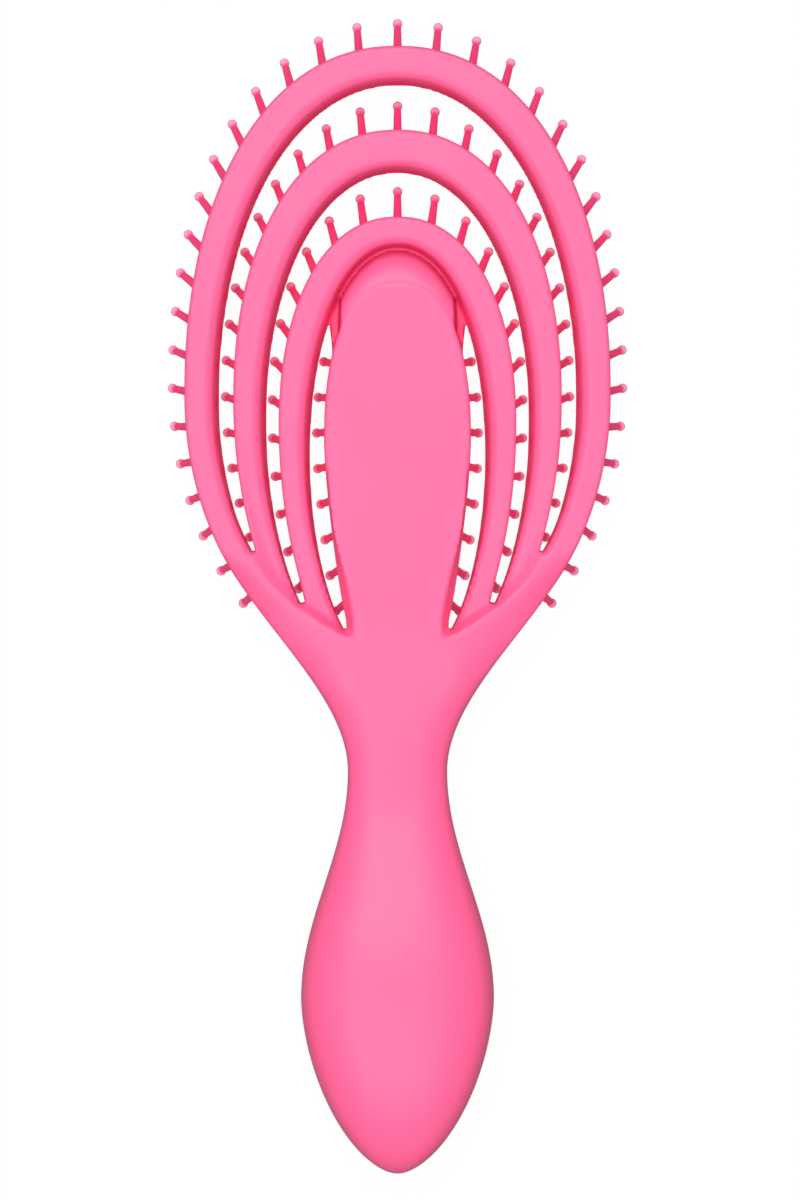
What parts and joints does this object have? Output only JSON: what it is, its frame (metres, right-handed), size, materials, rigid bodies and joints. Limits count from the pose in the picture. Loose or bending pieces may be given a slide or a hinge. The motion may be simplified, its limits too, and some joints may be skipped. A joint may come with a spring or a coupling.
{
  "type": "detangling brush",
  "caption": "Vented detangling brush with nested bending arches, a flat central tongue, rows of leaning ball-tipped pins and a bulbous hollow handle.",
  "frame": {"origin": "centre of the bounding box at its base, the plane that the pin tips and the grip's front rest on", "axes": "+X across the brush, +Y from the handle's end to the crown, +Z from the pin tips to the back"},
  "size_m": [0.0936, 0.2337, 0.024],
  "materials": {
    "soft_touch_shell": "matt soft-touch",
    "nylon_pins": "satin moulded"
  },
  "bodies": {
    "handle": {"back_shell": "soft_touch_shell", "front_shell": "soft_touch_shell", "inner_arch": "soft_touch_shell", "inner_pin_strip": "nylon_pins", "tongue_pin_pad": "nylon_pins", "shoulder_pin_strips": "nylon_pins"},
    "outer_loop": {"outer_arch": "soft_touch_shell", "outer_pin_strip": "nylon_pins"},
    "middle_loop": {"middle_arch": "soft_touch_shell", "middle_pin_strip": "nylon_pins"}
  },
  "joints": [
    {"name": "outer_arch_flex", "type": "hinge", "parent": "handle", "child": "outer_loop", "pos_m": [0, 0.01195, 0.016], "axis": [1, 0, 0], "range_deg": [-3, 6], "stiffness_Nm_per_rad": 5.2},
    {"name": "middle_arch_flex", "type": "hinge", "parent": "handle", "child": "middle_loop", "pos_m": [0, 0.01075, 0.016], "axis": [1, 0, 0], "range_deg": [-3, 5], "stiffness_Nm_per_rad": 6.3}
  ]
}
